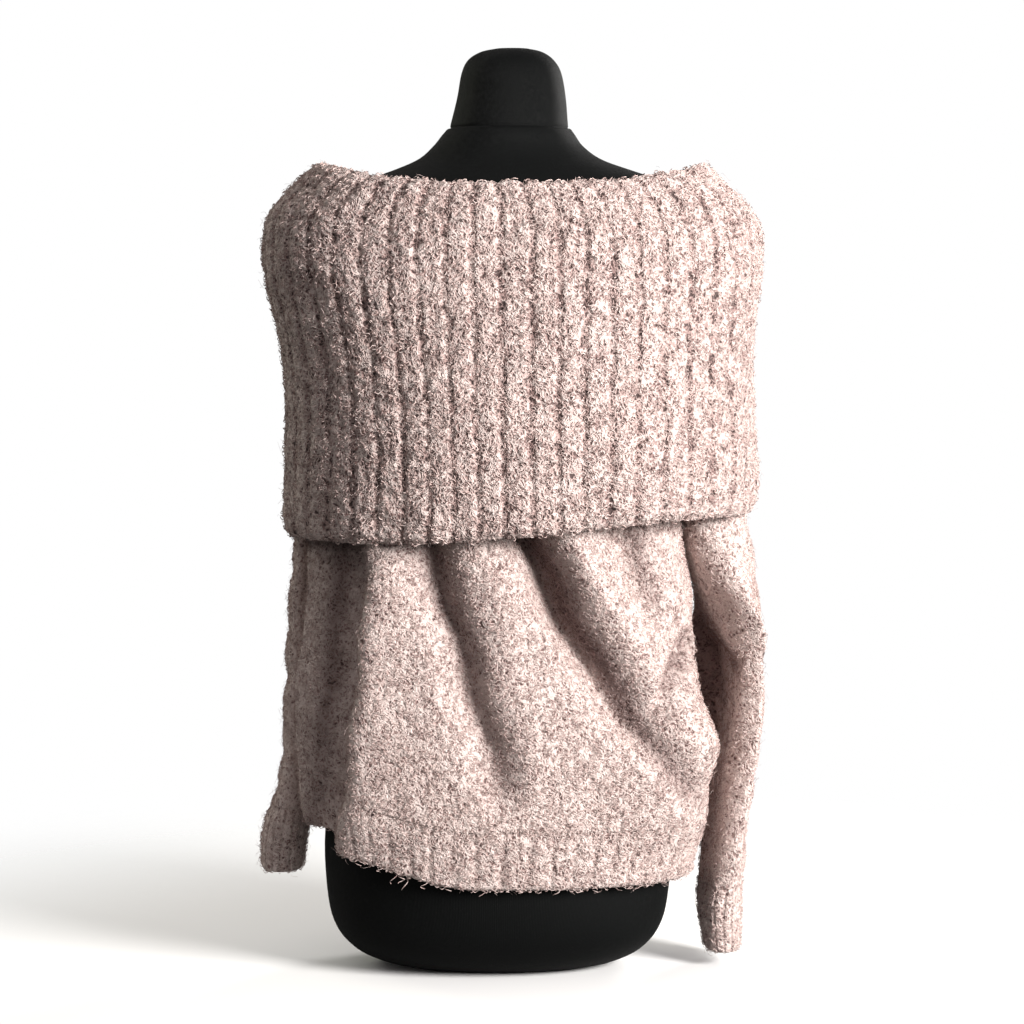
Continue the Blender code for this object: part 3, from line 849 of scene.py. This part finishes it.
def makeCurlGroup():  # worm-like strands of curly yarn: height, nubs and slow tint; the height also places the knit's painted highlights and painted shade in the gaps
    group, start, end = newGroup(
        "curlyYarn", [("Position", "NodeSocketVector"), ("Scale", "NodeSocketFloat")],
        [("Height", "NodeSocketFloat"), ("Nub", "NodeSocketFloat"), ("Tint", "NodeSocketFloat")])
    position, scale = start.outputs["Position"], start.outputs["Scale"]
    warp = noiseNode(group, position, mathNode(group, "MULTIPLY", scale, 0.5), 0.0, "Color")
    push = group.nodes.new("ShaderNodeVectorMath")
    push.operation = "MULTIPLY_ADD"
    group.links.new(warp, push.inputs[0])
    push.inputs[1].default_value = (0.0034, 0.0034, 0.0034)
    group.links.new(position, push.inputs[2])
    strands = []
    for offset, factor, narrow in (((0, 0, 0), 1.0, 7.5), ((3.1, 1.7, 5.3), 1.35, 6.5)):
        field = noiseNode(group, shiftNode(group, push.outputs[0], offset),
                          mathNode(group, "MULTIPLY", scale, factor), 1.0)
        away = mathNode(group, "ABSOLUTE", mathNode(group, "SUBTRACT", field, 0.5))
        strands.append(mathNode(group, "SUBTRACT", 1.0, mathNode(group, "MULTIPLY", away, narrow), clamp=True))
    height = mathNode(group, "MAXIMUM", strands[0], mathNode(group, "MULTIPLY", strands[1], 0.85))
    nubs = noiseNode(group, push.outputs[0], mathNode(group, "MULTIPLY", scale, 0.45), 1.0)
    group.links.new(height, end.inputs["Height"])
    group.links.new(stepNode(group, nubs, 0.30, 0.68), end.inputs["Nub"])
    group.links.new(noiseNode(group, position, mathNode(group, "MULTIPLY", scale, 0.30), 1.0),
                    end.inputs["Tint"])
    return group


def makeRibGroup():  # valley of the rib and the row of dark holes in it
    group, start, end = newGroup(
        "ribValley", [("UV", "NodeSocketVector")],
        [("Valley", "NodeSocketFloat"), ("Hole", "NodeSocketFloat"), ("Wale", "NodeSocketFloat")])
    split = group.nodes.new("ShaderNodeSeparateXYZ")
    sway = noiseNode(group, start.outputs["UV"], 0.8, 2.0, "Color")
    push = group.nodes.new("ShaderNodeVectorMath")
    push.operation = "MULTIPLY_ADD"
    group.links.new(sway, push.inputs[0])
    push.inputs[1].default_value = (0.45, 0.0, 0.0)
    shifted = shiftNode(group, start.outputs["UV"], (-0.225, 0, 0))
    group.links.new(shifted, push.inputs[2])
    group.links.new(push.outputs[0], split.inputs[0])
    phase = mathNode(group, "FRACT", split.outputs["X"])
    away = mathNode(group, "ABSOLUTE", mathNode(group, "SUBTRACT", phase, 0.5))
    away = mathNode(group, "MULTIPLY", away, 2.0)
    valley = stepNode(group, away, 0.60, 0.95)
    group.links.new(valley, end.inputs["Valley"])
    rows = noiseNode(group, shiftNode(group, start.outputs["UV"], (0.3, 0.1, 0), (2.0, 3.4, 1.0)), 1.0, 1.0)
    hole = mathNode(group, "MULTIPLY", stepNode(group, away, 0.62, 0.90), stepNode(group, rows, 0.36, 0.56))
    worn = noiseNode(group, shiftNode(group, start.outputs["UV"], (4.1, 2.2, 0), (0.33, 0.33, 1.0)), 1.0, 1.0)
    hole = mathNode(group, "MULTIPLY", hole, stepNode(group, worn, 0.22, 0.60))
    group.links.new(hole, end.inputs["Hole"])
    wale = mathNode(group, "SINE", mathNode(group, "MULTIPLY", split.outputs["X"], 2 * math.pi * 4))
    group.links.new(wale, end.inputs["Wale"])
    return group


knitLook = {
    # Below: the darkest colour is painted shade for the gaps between strands; the palest is a pale yarn tone
    # and, on the knit's crests, a painted highlight
    "gapShade": (0.042, 0.026, 0.025), "shade": (0.265, 0.170, 0.157), "yarn": (0.45, 0.322, 0.297),
    "paleAndHighlight": (0.665, 0.552, 0.518), "roughness": 0.82, "sheen": 0.28, "sheenRoughness": 0.45,
    "sheenTint": (0.92, 0.84, 0.79), "curlScale": 185.0,
    # Painted shade colour and its strength, for the fold troughs, the side pleat's lip and the sleeve tuck
    "paintedShade": (0.20, 0.13, 0.13), "paintedShadeShare": 0.85,
}


def groupNode(tree, group, **links):
    node = tree.nodes.new("ShaderNodeGroup")
    node.node_tree = group
    for name, value in links.items():
        if isinstance(value, (int, float)):
            node.inputs[name].default_value = value
        else:
            tree.links.new(value, node.inputs[name])
    return node


def startMaterial(name):
    material = bpy.data.materials.new(name)
    material.use_nodes = True
    tree = material.node_tree
    shader = tree.nodes["Principled BSDF"]
    places = tree.nodes.new("ShaderNodeTexCoord")
    return material, tree, shader, places


def dressCloth(shader, look):
    shader.inputs["Roughness"].default_value = look["roughness"]
    shader.inputs["Sheen Weight"].default_value = look["sheen"]
    shader.inputs["Sheen Roughness"].default_value = look["sheenRoughness"]
    shader.inputs["Sheen Tint"].default_value = (*look["sheenTint"], 1.0)
    shader.inputs["Specular IOR Level"].default_value = 0.25


# Per kind: how wide the painted highlight on the crests is, and how strong the painted shade in the gaps
# between strands and in the rib's holes is
knitKinds = {
    "collarRib": {"hole": 0.56, "valley": 0.8, "wale": 0.0, "open": 0.04, "nub": 1.1, "lift": 0.04,
                  "bump": 0.0014, "gapShade": 0.88},
    "softRib": {"hole": 0.10, "valley": 0.5, "wale": 0.0, "open": 0.0, "nub": 0.6, "lift": 0.18,
                "bump": 0.0012, "gapShade": 0.8},
    "plain": {"hole": 0.0, "valley": 0.0, "wale": 0.12, "open": -0.04, "nub": 0.5, "lift": 0.24,
              "bump": 0.0010, "gapShade": 0.7},
}


# Painted shade: multiplies the colour darker where the painted shade mask is set
def applyPaintedShade(tree, colour):
    paintedShade = addNode(tree, "ShaderNodeAttribute", attribute_name="paintedShade")
    share = mathNode(tree, "MULTIPLY", paintedShade.outputs["Fac"], knitLook["paintedShadeShare"])
    return mixColour(tree, share, colour, knitLook["paintedShade"], "MULTIPLY")


def makeKnit(name, curlGroup, ribGroup):
    kind = knitKinds[name]
    material, tree, shader, places = startMaterial(name)
    dressCloth(shader, knitLook)
    curls = groupNode(tree, curlGroup, Position=places.outputs["Object"], Scale=knitLook["curlScale"])
    ribs = groupNode(tree, ribGroup, UV=places.outputs["UV"])
    height, nub, tint = [curls.outputs[k] for k in ("Height", "Nub", "Tint")]
    hole = mathNode(tree, "MULTIPLY", ribs.outputs["Hole"], kind["hole"])
    lower = mathNode(tree, "MULTIPLY_ADD", nub, 0.30, height)
    lower = mathNode(tree, "SUBTRACT", lower, hole)
    body = mixColour(tree, stepNode(tree, tint, 0.3, 0.7), knitLook["shade"], knitLook["yarn"])
    # Painted highlight: the crests of the strands and nubs take the palest colour
    tip = stepNode(tree, lower, 0.55 - kind["lift"], 1.15 - kind["lift"])
    lit = mixColour(tree, tip, body, knitLook["paleAndHighlight"])
    # Painted shade: the low gaps between strands and the rib's holes take the darkest colour
    gapShade = mathNode(tree, "SUBTRACT", 1.0, stepNode(tree, lower, 0.02 + kind["open"], 0.38 + kind["open"]))
    gapShade = mathNode(tree, "MULTIPLY", gapShade, kind["gapShade"])
    # Painted shade in the fold troughs, the side pleat's lip and the sleeve tuck, on top of the painted gap
    # shade
    final = applyPaintedShade(tree, mixColour(tree, gapShade, lit, knitLook["gapShade"]))
    tree.links.new(final, shader.inputs["Base Color"])
    relief = mathNode(tree, "MULTIPLY_ADD", nub, kind["nub"], height)
    sunk = mathNode(tree, "MULTIPLY", ribs.outputs["Valley"], kind["valley"])
    relief = mathNode(tree, "SUBTRACT", relief, sunk)
    relief = mathNode(tree, "ADD", relief, mathNode(tree, "MULTIPLY", ribs.outputs["Wale"], kind["wale"]))
    bump = addNode(tree, "ShaderNodeBump", Distance=kind["bump"])
    tree.links.new(relief, bump.inputs["Height"])
    tree.links.new(bump.outputs["Normal"], shader.inputs["Normal"])
    return material


def makeYarn(name):  # loose curls: paler than the knit they stand on
    material, tree, shader, places = startMaterial(name)
    dressCloth(shader, knitLook)
    tint = noiseNode(tree, places.outputs["Object"], 420.0, 1.0)
    slow = noiseNode(tree, places.outputs["Object"], 70.0, 1.0)
    pale = mixColour(tree, stepNode(tree, tint, 0.35, 0.65), knitLook["yarn"], knitLook["paleAndHighlight"])
    dull = mathNode(tree, "MULTIPLY", stepNode(tree, slow, 0.45, 0.75), 0.6)
    # The curls take the same painted shade in the fold troughs, the side pleat's lip and the sleeve tuck
    final = applyPaintedShade(tree, mixColour(tree, dull, pale, knitLook["shade"]))
    tree.links.new(final, shader.inputs["Base Color"])
    return material


jerseyLook = {"dark": (0.0010, 0.0012, 0.0012), "light": (0.0026, 0.0036, 0.0038), "bump": 0.0002,
              "wales": 115.0, "grain": 300.0, "rough": 0.7, "sheen": 0.012, "sheenRough": 0.4, "shine": 0.12}


def makeJersey():
    material, tree, shader, places = startMaterial("blackJersey")
    shader.inputs["Roughness"].default_value = jerseyLook["rough"]
    shader.inputs["Sheen Weight"].default_value = jerseyLook["sheen"]
    shader.inputs["Sheen Roughness"].default_value = jerseyLook["sheenRough"]
    shader.inputs["Specular IOR Level"].default_value = jerseyLook["shine"]
    split = tree.nodes.new("ShaderNodeSeparateXYZ")
    tree.links.new(places.outputs["UV"], split.inputs[0])
    wales = mathNode(tree, "SINE", mathNode(tree, "MULTIPLY", split.outputs["X"], jerseyLook["wales"]))
    slow = noiseNode(tree, places.outputs["Object"], jerseyLook["grain"], 2.0)
    share = mathNode(tree, "MULTIPLY", mathNode(tree, "MULTIPLY_ADD", wales, 0.5, 0.5), slow)
    tree.links.new(mixColour(tree, share, jerseyLook["dark"], jerseyLook["light"]), shader.inputs["Base Color"])
    bump = addNode(tree, "ShaderNodeBump", Distance=jerseyLook["bump"])
    tree.links.new(share, bump.inputs["Height"])
    tree.links.new(bump.outputs["Normal"], shader.inputs["Normal"])
    return material


floorLook = {"solid": 0.30, "gone": 0.95, "size": 1.0, "drop": 0.0004, "rough": 0.9, "grain": 3.0,
             "dull": (0.90, 0.90, 0.90), "pale": (0.94, 0.94, 0.94), "bounced": (0.28, 0.28, 0.28)}


def makeFloorPaint():  # pale paint that fades into the white studio
    material, tree, shader, places = startMaterial("paleFloor")
    shader.inputs["Roughness"].default_value = floorLook["rough"]
    grain = noiseNode(tree, places.outputs["Object"], floorLook["grain"], 2.0)
    pale = mixColour(tree, grain, floorLook["dull"], floorLook["pale"])
    seen = tree.nodes.new("ShaderNodeLightPath").outputs["Is Camera Ray"]
    tree.links.new(mixColour(tree, seen, floorLook["bounced"], pale), shader.inputs["Base Color"])
    length = tree.nodes.new("ShaderNodeVectorMath")
    length.operation = "LENGTH"
    tree.links.new(places.outputs["Object"], length.inputs[0])
    solid = mathNode(tree, "SUBTRACT", 1.0,
                     stepNode(tree, length.outputs["Value"], floorLook["solid"], floorLook["gone"]))
    tree.links.new(solid, shader.inputs["Alpha"])
    return material


# Studio

studio = {
    "cameraPlace": (0.012, -2.6, 0.62), "pitch": 4.4, "pixelFocal": 2832.0, "imageWidth": 1024,
    "sensor": 36.0, "background": 1.0, "ambientLeft": 0.60, "ambientRight": 0.28,
    "ambientColour": (1.0, 0.95, 0.94, 1), "ambientFrom": -0.3, "ambientFull": 0.9, "clipEnd": 50.0,
    "warm": (1.0, 0.975, 0.95), "cool": (0.97, 1.0, 0.84), "aim": (0.0, 0.0, 0.45),
}
lamps = rowsOf("name x y z size power warm", [
    ("key", 1.95, -1.62, 1.05, 1.0, 165.0, 1.0),
    ("front", 0.30, -2.6, 1.5, 1.2, 3.0, 1.0),
    ("rim", -1.5, 1.0, 1.2, 0.8, 9.0, 0.0),
    ("behind", 1.7, 2.1, 1.3, 1.0, 46.0, 1.0),
])


def makeStudio():
    scene = bpy.context.scene
    lens = bpy.data.cameras.new("camera")
    lens.sensor_width = studio["sensor"]
    lens.lens = studio["pixelFocal"] / studio["imageWidth"] * studio["sensor"]
    lens.clip_end = studio["clipEnd"]
    camera = bpy.data.objects.new("camera", lens)
    camera.location = studio["cameraPlace"]
    camera.rotation_euler = (math.radians(90 - studio["pitch"]), 0, 0)
    scene.collection.objects.link(camera)
    scene.camera = camera
    for row in lamps:
        light = bpy.data.lights.new(row["name"], "AREA")
        light.shape = "DISK"
        light.size = row["size"]
        light.energy = row["power"]
        light.color = studio["warm"] if row["warm"] else studio["cool"]
        lamp = bpy.data.objects.new(row["name"], light)
        lamp.location = (row["x"], row["y"], row["z"])
        aim = Vector(studio["aim"]) - lamp.location
        lamp.rotation_euler = aim.to_track_quat("-Z", "Y").to_euler()
        scene.collection.objects.link(lamp)
    world = bpy.data.worlds.new("studio")
    scene.world = world
    world.use_nodes = True
    tree = world.node_tree
    tree.nodes.clear()
    seen = addNode(tree, "ShaderNodeBackground", Strength=studio["background"])
    seen.inputs["Color"].default_value = (1, 1, 1, 1)
    fill = addNode(tree, "ShaderNodeBackground")
    fill.inputs["Color"].default_value = studio["ambientColour"]
    split = tree.nodes.new("ShaderNodeSeparateXYZ")
    tree.links.new(tree.nodes.new("ShaderNodeTexCoord").outputs["Generated"], split.inputs[0])
    sideways = stepNode(tree, split.outputs["X"], -1.0, 1.0)
    upward = stepNode(tree, split.outputs["Z"], studio["ambientFrom"], studio["ambientFull"])
    level = mathNode(tree, "MULTIPLY_ADD", sideways, studio["ambientRight"] - studio["ambientLeft"],
                     studio["ambientLeft"])
    tree.links.new(mathNode(tree, "MULTIPLY", level, upward), fill.inputs["Strength"])
    path = tree.nodes.new("ShaderNodeLightPath")
    mix = tree.nodes.new("ShaderNodeMixShader")
    out = tree.nodes.new("ShaderNodeOutputWorld")
    tree.links.new(path.outputs["Is Camera Ray"], mix.inputs["Fac"])
    tree.links.new(fill.outputs[0], mix.inputs[1])
    tree.links.new(seen.outputs[0], mix.inputs[2])
    tree.links.new(mix.outputs[0], out.inputs["Surface"])
    scene.view_settings.view_transform = "Standard"


def makeFloor():
    mesh = bmesh.new()
    made = bmesh.ops.create_circle(mesh, cap_ends=True, radius=floorLook["size"], segments=96)
    bmesh.ops.translate(mesh, verts=made["verts"], vec=(0, 0, -floorLook["drop"]))
    return toObject(mesh, "floor")


# Put together

def useMaterial(piece, material):
    piece.data.materials.clear()
    piece.data.materials.append(material)


def sheetSize(piece):  # half the wall's surface is the flat cut
    return sum(polygon.area for polygon in piece.data.polygons) / 2


def main():
    makeStudio()
    floor = makeFloor()
    useMaterial(floor, makeFloorPaint())
    print("studio ready")

    curlGroup, ribGroup = makeCurlGroup(), makeRibGroup()
    collarKnit = makeKnit("collarRib", curlGroup, ribGroup)
    ribKnit = makeKnit("softRib", curlGroup, ribGroup)
    plainKnit = makeKnit("plain", curlGroup, ribGroup)
    yarn = makeYarn("looseYarn")
    print("materials ready")

    form = makeForm()
    useMaterial(form, makeJersey())
    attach(form, "root")
    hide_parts("dress_form")
    print("form ready")

    collar = makeCollar()
    back, front = makePanels()
    hem = makeHem()
    walls = [(collar, "collar", collarKnit), (back, "back", plainKnit), (front, "front", plainKnit),
             (hem, "hem_rib", ribKnit)]
    for side, sleeve, cuff in makeSleeves():
        walls.append((sleeve, "sleeve_" + side, plainKnit))
        walls.append((cuff, "cuff_" + side, ribKnit))
    print("knit walls ready")

    looseEndPiece = makeLooseEnds()
    for piece, node, material in walls:
        useMaterial(piece, material)
        # Painted shade mask for the folds, the side pleat's lip and the sleeve tuck
        markPaintedShade(piece, piece.name)
        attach(piece, "root")
        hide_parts(node)
        trims = makeCurls(piece) + ([looseEndPiece] if piece is hem else [])
        for trim in trims:
            useMaterial(trim, yarn)
            # The curls get the same painted shade mask as the wall under them
            markPaintedShade(trim, piece.name)
            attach(trim, "root")
        print("curls on", piece.name, "flat area %.3f" % sheetSize(piece))


main()
